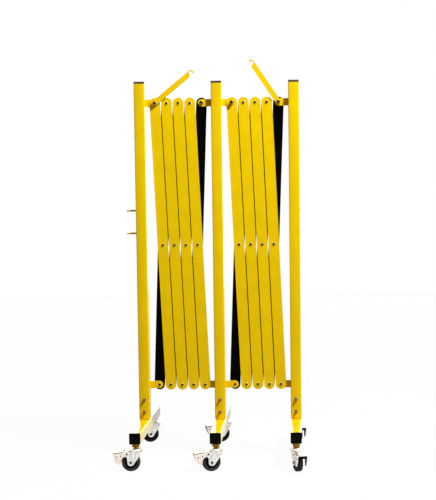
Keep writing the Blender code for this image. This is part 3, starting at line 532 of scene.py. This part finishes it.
# The ends of front slats that a strap's own bolt or rivet holds, so that they have no rivet
HELD_ENDS = {("left", 0): "bottom", ("left", 3): "top", ("right", 0): "top", ("right", 3): "bottom"}


def pivot_x(side, crossing):
    """Where a pivot stands along X, counted from the middle post outward."""
    return SIDES[side] * (PIVOT_REACH + crossing * BAR_PITCH)


def make_bar(side, i, colour):
    """A slat with half-round ends. A yellow one lies in front and brings its rivets."""
    name = f"{side}_{colour}_bar_{i + 1}"
    front = colour == "yellow"
    near, far = pivot_x(side, i), pivot_x(side, i + 1)
    lean = degrees(-FOLDED_ANGLE if front else FOLDED_ANGLE)
    layer = (BAR_BACK + BAR_FACE) / 2 * (-1 if front else 1)
    upright = at((near + far) / 2, layer, MID_PIVOT, (0, lean, 0)) @ at(turn=(0, 90, 0))
    half = (BAR_LENGTH + BAR_WIDTH) / 2
    bm = bmesh.new()
    plate(bm, strip_corners(-half, half, BAR_WIDTH), BAR_THICKNESS, upright)
    piece(f"{name}_slat", bm, YELLOW if front else BLACK, name, [name], edge=SHEET_EDGE)
    if not front:
        return
    pivots = {
        "top": (min(near, far), TOP_PIVOT),
        "middle": ((near + far) / 2, MID_PIVOT),
        "bottom": (max(near, far), LOW_PIVOT),
    }
    heads, bores = bmesh.new(), bmesh.new()
    for end, (x, z) in pivots.items():
        if end != HELD_ENDS.get((side, i)):
            rivet(heads, bores, x, z, BAR_FACE, RIVET_SEAT)
    piece(f"{name}_rivets", heads, RIVET, name, edge=0.0)
    piece(f"{name}_rivet_bores", bores, BORE, name, edge=0.0)


def rivet(heads, bores, x, z, front, back):
    """A tubular rivet: a rolled hollow head in front, a spacer between the slats and a domed head behind."""
    rolled = head_profile(RIVET_RADIUS, RIVET_RADIUS * 0.82, front, HEAD_HEIGHT, MOUTH)
    turned(heads, [(SHANK_RADIUS, 0), (SHANK_RADIUS, front), *rolled], at(x, 0, z) @ FRONT, ROUND_HEAD_STEPS)
    bore(bores, x, z, front + HEAD_HEIGHT - MOUTH_DEPTH)
    rear_head(heads, x, z, RIVET_RADIUS, back)


def rear_head(bm, x, z, radius, seat):
    """The shank and the domed head behind a rivet or a pivot bolt."""
    dome = head_profile(radius, 0.003, seat, HEAD_HEIGHT * 0.92)
    turned(bm, [(0, 0), (SHANK_RADIUS, 0), (SHANK_RADIUS, seat), *dome], at(x, 0, z) @ BACK, ROUND_HEAD_STEPS)


def bore(bm, x, z, depth):
    """A disc of painted shade at the floor of a hollow head, as wide as its mouth, for the dark of a deep
    bore.
    """
    disc = [(0, depth), (MOUTH, depth), (MOUTH, depth - 0.0001), (0, depth - 0.0001)]
    turned(bm, disc, at(x, 0, z) @ FRONT, ROUND_HEAD_STEPS)


def stud(bm, bores, x, z, bar_in_front):
    """The top pivot bolt of a strap: a shouldered neck for the hook and a hollow round head."""
    root = BAR_FACE + SEAT_GAP if bar_in_front else STRAP_FACE
    collar = HOOK_BACK - SEAT_GAP
    profile = [
        (0.004, 0), (0.004, root), (0.0058, root), (0.0058, collar), (0.004, collar), (0.004, STUD_SEAT),
        (0.0054, STUD_SEAT), (0.0058, STUD_SEAT + 0.0005), (0.0058, STUD_TOP - 0.0016),
        (0.0054, STUD_TOP - 0.0007), (0.0047, STUD_TOP - 0.0001), (MOUTH * 1.08, STUD_TOP),
        (MOUTH, STUD_TOP - 0.0004), (MOUTH * 0.96, STUD_TOP - 0.003),
    ]
    turned(bm, profile, at(x, 0, z) @ FRONT, 36)
    bore(bores, x, z, STUD_TOP - 0.0029)
    rear_head(bm, x, z, 0.005, STRAP_FACE if bar_in_front else RIVET_SEAT)


def make_top_strap(post):
    """A flat strap welded through the post, with a pivot bolt at each end that reaches out."""
    body = f"{post}_upright"
    x, sides = POSTS[post], LATTICE_SIDES[post]
    outer, inner = PIVOT_REACH + STRAP_HEIGHT / 2, TUBE / 2 - WALL - SEAT_GAP
    low = -outer if -1 in sides else -inner
    high = outer if 1 in sides else inner
    bm = bmesh.new()
    corners = strip_corners(low, high, STRAP_HEIGHT, -1 in sides, 1 in sides)
    plate(bm, corners, STRAP_THICKNESS, at(x, 0, TOP_PIVOT))
    piece(f"{post}_strap_plate", bm, YELLOW, body, [f"{post}_top_strap"], edge=SHEET_EDGE)
    heads, bores = bmesh.new(), bmesh.new()
    for side in sides:
        stud(heads, bores, x + side * PIVOT_REACH, TOP_PIVOT, bar_in_front=side > 0)
    piece(f"{post}_pivot_bolts", heads, STUD, body, edge=0.0)
    piece(f"{post}_pivot_bolt_bores", bores, BORE, body, edge=0.0)


def make_sliding_strap(side, place):
    """A flat strap on a nylon glide that runs in the post's slot, with its pivot rivet."""
    name = f"{side}_{place}_sliding_strap"
    inner = place == "inner"
    x = pivot_x(side, 0 if inner else CROSSINGS)
    toward = -SIDES[side] if inner else SIDES[side]
    bar_in_front = (side == "left") == inner
    glide_x = toward * GLIDE_REACH
    half = STRAP_HEIGHT / 2
    if toward > 0:
        corners = strip_corners(-half, glide_x, STRAP_HEIGHT, True, False)
    else:
        corners = strip_corners(glide_x, half, STRAP_HEIGHT, False, True)
    bm = bmesh.new()
    plate(bm, corners, STRAP_THICKNESS, at(x, 0, LOW_PIVOT))
    piece(f"{name}_plate", bm, YELLOW, name, [name], edge=SHEET_EDGE)
    bm = bmesh.new()
    block(bm, GLIDE_SIZE, at(x + glide_x, 0, LOW_PIVOT), 0.0015, None, 2)
    piece(f"{name}_glide", bm, PLASTIC, name, edge=0.0)
    heads, bores = bmesh.new(), bmesh.new()
    front, back = (RIVET_SEAT, STRAP_FACE) if bar_in_front else (STRAP_FACE, RIVET_SEAT)
    rivet(heads, bores, x, LOW_PIVOT, front, back)
    piece(f"{name}_rivet", heads, RIVET, name, edge=0.0)
    piece(f"{name}_rivet_bore", bores, BORE, name, edge=0.0)


def make_latch_hook(side):
    """A flat hook on the outer bolt, with an open notch that drops over the bolt at the other end."""
    reach = CROSSINGS * BAR_PITCH
    half, notch, ring, drop = 0.0075, 0.0046, 0.0090, -0.0002
    tip, claw = drop - 0.003, -0.006
    corners = [
        (-half, -half, half * 0.999), (reach - ring, -half, 0.004), (reach - notch, tip, 0.001),
        (reach - notch, drop + notch, notch * 0.99), (reach + notch, drop + notch, notch * 0.99),
        (reach + notch, claw, 0.001), (reach + ring, claw, 0.001), (reach + ring, half, 0.0072),
        (-half, half, half * 0.999),
    ]
    inward = -SIDES[side]
    turn = Matrix.Rotation(-inward * HOOK_ANGLES[side], 4, "Y")
    spot = Matrix.Translation((pivot_x(side, CROSSINGS), -(HOOK_BACK + HOOK_FACE) / 2, TOP_PIVOT))
    bm = bmesh.new()
    plate(bm, [(inward * x, z, run) for x, z, run in corners], HOOK_THICKNESS, spot @ turn)
    body, stands_for = f"{side}_hook", [f"{side}_latch_hook"]
    piece(f"{side}_hook_plate", bm, YELLOW, body, stands_for, edge=SHEET_EDGE)


# Casters

def sheet_shell(bm, corners, width, keep, bend=0.002):
    """A pressed shell: two side faces from an outline, and the strips of its rim that keep picks."""
    plate(bm, corners, width)
    rim = [f for f in bm.faces if abs(f.normal.y) < 0.5]
    gone = [f for f in rim if not keep(f.calc_center_median(), f.normal)]
    bmesh.ops.delete(bm, geom=gone, context="FACES")
    bends = [
        e for e in bm.edges if not e.is_boundary and e.is_manifold and e.calc_face_angle() > radians(60)
    ]
    rounded(bm, bends, bend, 3)


def make_caster(key):
    """A swivelling fork with its crown and axle, a wheel, and a brake pedal."""
    post, end = key.split("_")
    y = (-1 if end == "front" else 1) * STEM_Y
    spot = at(POSTS[post], y, 0, (0, 0, YAWS[key]))
    make_fork(key, spot)
    make_crown(key, spot)
    make_axle(key, spot)
    make_tyre(key, spot)
    make_hub(key, spot)
    make_pedal_sheet(key, spot)
    make_pedal_ribs(key, spot)
    make_pedal_pins(key, spot)
    make_brake_shoe(key, spot)


def make_fork(key, spot):
    """Two pressed legs under one sloping roof."""
    corners = [
        (0.002, 0.0605, 0.004), (-0.0155, 0.0605, 0.0025), (-0.016, 0.053, 0.002), (-0.0125, 0.045, 0.003),
        (0.00774, 0.016, 0.0046), (0.022, 0.016, 0.0089), (0.022, 0.0325, 0.002), (0.023, 0.039, 0.003),
        (0.0315, 0.046, 0.003), (0.0315, 0.0535, 0.0012),
    ]

    def is_roof(middle, normal):
        return normal.z > 0.3 and middle.z > 0.052

    bm = bmesh.new()
    sheet_shell(bm, corners, 2 * LEG_OUTER, is_roof)
    piece(f"{key}_fork_sheet", bm, ZINC, f"{key}_swivel", [f"{key}_fork"], LEG_WALL, place=spot)


def make_crown(key, spot):
    """The domed ball race on top of the fork, with the stem that reaches into the boss."""
    crown = [
        (0, CROWN_TOP), (0.0125, CROWN_TOP), (0.0148, CROWN_TOP - 0.0004), (0.0168, CROWN_TOP - 0.0014),
        (0.0178, CROWN_TOP - 0.0028), (0.018, CROWN_TOP - 0.004), (0.018, CROWN_TOP - 0.0052),
        (0.0174, CROWN_TOP - 0.0055), (0, CROWN_TOP - 0.0055),
    ]
    stem = [(0, CROWN_TOP), (0.004, CROWN_TOP), (0.004, CROWN_TOP + 0.008), (0, CROWN_TOP + 0.008)]
    bm = bmesh.new()
    turned(bm, crown)
    turned(bm, stem)
    piece(f"{key}_crown", bm, ZINC, f"{key}_swivel", place=spot)


def make_axle(key, spot):
    """The axle's nuts on both legs, and a thin dark strip of painted shade along the roof of each."""
    seat, lean = LEG_OUTER, degrees(FORK_FALL)
    nut = [
        (0, 0), (0.003, 0), (0.003, seat), (0.0038, seat), (0.0038, seat + 0.0014), (0.0032, seat + 0.002),
        (0, seat + 0.002),
    ]
    bm = bmesh.new()
    for side in (1, -1):
        # Painted shade: a thin dark strip where the roof's bend would cast a shadow line.
        block(bm, (0.026, 0.0006, 0.0018), at(0.016, side * (seat - 0.0001), 0.0553, (0, lean, 0)))
        turned(bm, nut, at(TRAIL, 0, WHEEL_RADIUS, (-90 * side, 0, 0)), 6)
    piece(f"{key}_axle", bm, DARK_STEEL_AND_PAINTED_SHADE, f"{key}_swivel", place=spot)


def make_tyre(key, spot):
    """A solid tyre with rounded shoulders."""
    half = TYRE_HALF
    tyre = [
        (0.0165, half - 0.0006), (0.0175, half), (0.0212, half), (0.0226, half - 0.0008),
        (0.0240, half - 0.0022), (0.0248, half - 0.0040), (WHEEL_RADIUS, half - 0.0065),
        (WHEEL_RADIUS, -half + 0.0065), (0.0248, -half + 0.0040), (0.0240, -half + 0.0022),
        (0.0226, -half + 0.0008), (0.0212, -half), (0.0175, -half), (0.0165, -half + 0.0006),
        (0.0165, half - 0.0006),
    ]
    bm = bmesh.new()
    turned(bm, tyre, at(TRAIL, 0, WHEEL_RADIUS, (-90, 0, 0)), 56)
    piece(f"{key}_tyre", bm, TYRE, f"{key}_wheel", [f"{key}_wheel"], edge=0.0, place=spot)


def make_hub(key, spot):
    """A dished hub: a bored boss, a thin web and a rim inside the tyre."""
    half, web = TYRE_HALF, WEB_HALF
    hub = [
        (0.0033, HUB_HALF), (0.0078, HUB_HALF), (0.0085, 0.0088), (0.0092, web + 0.0008), (0.0105, web),
        (0.0148, web), (0.0158, web + 0.0010), (0.0160, half - 0.0014), (0.0166, half - 0.0008),
        (0.0166, -half + 0.0008), (0.0160, -half + 0.0014), (0.0158, -web - 0.0010), (0.0148, -web),
        (0.0105, -web), (0.0092, -web - 0.0008), (0.0085, -0.0088), (0.0078, -HUB_HALF), (0.0033, -HUB_HALF),
        (0.0033, HUB_HALF),
    ]
    bm = bmesh.new()
    turned(bm, hub, at(TRAIL, 0, WHEEL_RADIUS, (-90, 0, 0)), 48)
    piece(f"{key}_hub", bm, HUB, f"{key}_wheel", edge=0.0, place=spot)


def at_pedal(spot, x=0.0, y=0.0, z=0.0, turn=(0, 0, 0)):
    """A place on a caster, measured from the pin of its pedal."""
    return spot @ at(PEDAL_PIN_X + x, y, PEDAL_PIN_Z + z, turn)


def make_pedal_sheet(key, spot):
    """A pressed pedal over the fork: a tread plate and side flanges, open below and at the tip."""
    lug, tip, start, crest = PEDAL_LUG, PEDAL_TIP, TREAD_START, TREAD_CREST
    corners = [
        (-lug, lug, lug * 0.99), (-lug, -lug, lug * 0.99), (0.0075, -0.0070, 0.002), (0.014, -0.01125, 0.002),
        (0.016, -0.021, 0.002), (0.0165, -0.0285, 0.0015), (0.02736, -0.0255, 0.004),
        (0.03382, -0.0155, 0.004), (PEDAL_REACH, tip - 0.0035, 0.001), (PEDAL_REACH, tip, 0.001),
        (start, crest, 0.002), (0.001, crest, 0.003),
    ]

    def is_tread(middle, normal):
        return normal.z > 0.8 and middle.x > start

    bm = bmesh.new()
    sheet_shell(bm, corners, 2 * PEDAL_OUTER, is_tread, 0.0014)
    body, stands_for, place = f"{key}_pedal", [f"{key}_brake_pedal"], at_pedal(spot)
    piece(f"{key}_pedal_sheet", bm, PEDAL_ZINC, body, stands_for, PEDAL_WALL, place=place)


def make_pedal_ribs(key, spot):
    """Three ribs across the tread."""
    bm = bmesh.new()
    for along in (0.017, 0.024, 0.031):
        height = TREAD_CREST - (along - TREAD_START) * TREAD_SLOPE
        place = at_pedal(spot, along, 0, height, (0, degrees(TREAD_SLOPE), 0))
        block(bm, (0.0022, 0.017, 0.001), place, 0.0004, None, 2)
    piece(f"{key}_pedal_ribs", bm, PEDAL_ZINC, f"{key}_pedal", edge=0.0)


def make_pedal_pins(key, spot):
    """On each flange the end of the pivot pin, two rivet knobs, and a thin dark strip of painted shade below
    the tread.
    """
    outer = PEDAL_OUTER
    pin = [
        (0, 0.0105), (0.002, 0.0105), (0.002, outer), (0.0026, outer), (0.0024, outer + 0.0006),
        (0.001, outer + 0.0008), (0, outer + 0.0008),
    ]
    knob = [
        (0, outer - 0.001), (0.0017, outer - 0.001), (0.0017, outer + 0.0002), (0.0012, outer + 0.0005),
        (0, outer + 0.0005),
    ]
    middle, run = (TREAD_START + PEDAL_REACH) / 2, PEDAL_REACH - TREAD_START - 0.002
    bm = bmesh.new()
    for side in (1, -1):
        turn = (-90 * side, 0, 0)
        turned(bm, pin, at_pedal(spot, turn=turn), 20)
        for dx, dz in ((0.016, -0.0042), (0.0275, -0.0068)):
            turned(bm, knob, at_pedal(spot, dx, 0, dz, turn), 16)
        # Painted shade: a thin dark strip where the tread's bend would cast a shadow line.
        shade_strip_z = (TREAD_CREST + PEDAL_TIP) / 2 - 0.0015
        place = at_pedal(spot, middle, side * (outer - 0.0002), shade_strip_z, (0, degrees(TREAD_SLOPE), 0))
        block(bm, (run, 0.0006, 0.0017), place)
    piece(f"{key}_pedal_pins", bm, DARK_STEEL_AND_PAINTED_SHADE, f"{key}_pedal", edge=0.0)


def make_brake_shoe(key, spot):
    """The dark shoe over the tyre, and the pad under the tread that carries it."""
    bm = bmesh.new()
    block(bm, (0.0085, 0.014, 0.0072), at_pedal(spot, 0.0165, 0, -0.0037, (0, 20, 0)), 0.0012, None, 2)
    block(bm, (0.015, 0.0236, 0.0068), at_pedal(spot, 0.0285, 0, -0.0014), 0.0012, None, 2)
    piece(f"{key}_brake_shoe", bm, HUB, f"{key}_pedal", edge=0.0)


# The barrier

for post in LATTICE_SIDES:
    make_post(post)
for post in LATTICE_SIDES:
    make_foot(post)
for post in LATTICE_SIDES:
    make_top_strap(post)
for lattice in SIDES:
    for number in range(CROSSINGS):
        make_bar(lattice, number, "yellow")
        make_bar(lattice, number, "black")
    make_sliding_strap(lattice, "inner")
    make_sliding_strap(lattice, "outer")
    make_latch_hook(lattice)
for caster in YAWS:
    make_caster(caster)
make_coupling_pins()


# The studio

def sees_white(tree, kinds):
    """1 for rays of the kinds that meet the white studio, and 0 for the rays that light the barrier."""
    rays = node(tree, "ShaderNodeLightPath")
    seen = rays.outputs[kinds[0]]
    for kind in kinds[1:]:
        most = node(tree, "ShaderNodeMath", {"operation": "MAXIMUM"}, {0: seen, 1: rays.outputs[kind]})
        seen = most.outputs[0]
    return seen


def studio_floor_paint():
    """A white floor that takes the barrier's shadow and stays white to the camera."""
    made, tree, shader, place = finish("pale_studio_floor", Roughness=0.9)
    # Faint clouds 0.4 m wide.
    dust = grain(tree, place, 0.4, 2)
    tone = node(tree, "ShaderNodeValToRGB", links={0: dust}, tones=((0.2, "#848484"), (0.8, "#8c8c8c")))
    tree.links.new(tone.outputs[0], shader.inputs["Base Color"])
    # The camera sees 93% of this glow, 0.96, and the lit floor's own 7% brings it to white, 1.
    glow = node(tree, "ShaderNodeEmission", {"Color": (1, 1, 1, 1), "Strength": 1.035})
    seen = sees_white(tree, ("Is Camera Ray", "Is Glossy Ray"))
    share = node(tree, "ShaderNodeMath", {"operation": "MULTIPLY", 1: 0.93}, {0: seen})
    parts = {0: share.outputs[0], 1: shader.outputs[0], 2: glow.outputs[0]}
    mix = node(tree, "ShaderNodeMixShader", links=parts)
    tree.links.new(mix.outputs[0], tree.nodes["Material Output"].inputs["Surface"])
    return made


def lay_floor():
    """A level floor, six metres to each side."""
    bm = bmesh.new()
    bmesh.ops.create_grid(bm, x_segments=1, y_segments=1, size=6)
    mesh = bpy.data.meshes.new("floor")
    bm.to_mesh(mesh)
    bm.free()
    mesh.materials.append(studio_floor_paint())
    floor = bpy.data.objects.new("floor", mesh)
    bpy.context.scene.collection.objects.link(floor)


def fill_world():
    """A plain white backdrop, and a weak warm light from all round."""
    world = bpy.data.worlds.new("studio")
    bpy.context.scene.world = world
    world.use_nodes = True
    tree = world.node_tree
    tree.nodes.clear()
    seen = sees_white(tree, ("Is Camera Ray", "Is Glossy Ray", "Is Transmission Ray"))
    lighting = node(tree, "ShaderNodeBackground", {"Color": (1, 0.62, 0.48, 1), "Strength": 0.13})
    backdrop = node(tree, "ShaderNodeBackground", {"Color": (1, 1, 1, 1), "Strength": 1.0})
    mix = node(tree, "ShaderNodeMixShader", links={0: seen, 1: lighting.outputs[0], 2: backdrop.outputs[0]})
    node(tree, "ShaderNodeOutputWorld", links={"Surface": mix.outputs[0]})


def softbox(name, way, distance, aim, power, width, height, colour):
    """A soft lamp that looks at a point from some way off, and that the camera doesn't see."""
    lamp = bpy.data.lights.new(name, "AREA")
    lamp.shape = "RECTANGLE"
    lamp.size, lamp.size_y = width, height
    lamp.energy = power
    lamp.color = linear(colour)[:3]
    obj = bpy.data.objects.new(name, lamp)
    way = Vector(way).normalized()
    obj.location = Vector(aim) + way * distance
    obj.rotation_mode = "QUATERNION"
    obj.rotation_quaternion = way.to_track_quat("Z", "Y")
    obj.visible_camera = False
    bpy.context.scene.collection.objects.link(obj)


def set_camera():
    """The photograph's view: a long lens from the front, a little above the barrier's middle."""
    camera = bpy.data.cameras.new("camera")
    camera.sensor_fit = "AUTO"
    camera.sensor_width = 36
    camera.lens = 74.76
    camera.shift_x = -0.1128
    camera.shift_y = 0.0622
    camera.clip_end = 50
    view = bpy.data.objects.new("camera", camera)
    view.location = (0.22566, -2.93223, 0.68273)
    view.rotation_euler = [radians(a) for a in (86.3816, 0.5678, 1.3014)]
    bpy.context.scene.collection.objects.link(view)
    bpy.context.scene.camera = view


lay_floor()
fill_world()
softbox("key", (0.475, -0.36, 0.80), 3.6, (0, 0, 0.6), 282, 0.4, 0.4, "#ecfff0")
softbox("backdrop_light", (0, 1, 0), 5.8, (0, 0, 1.6), 138, 6.0, 3.0, "#ffffff")
set_camera()
bpy.context.scene.view_settings.view_transform = "Standard"
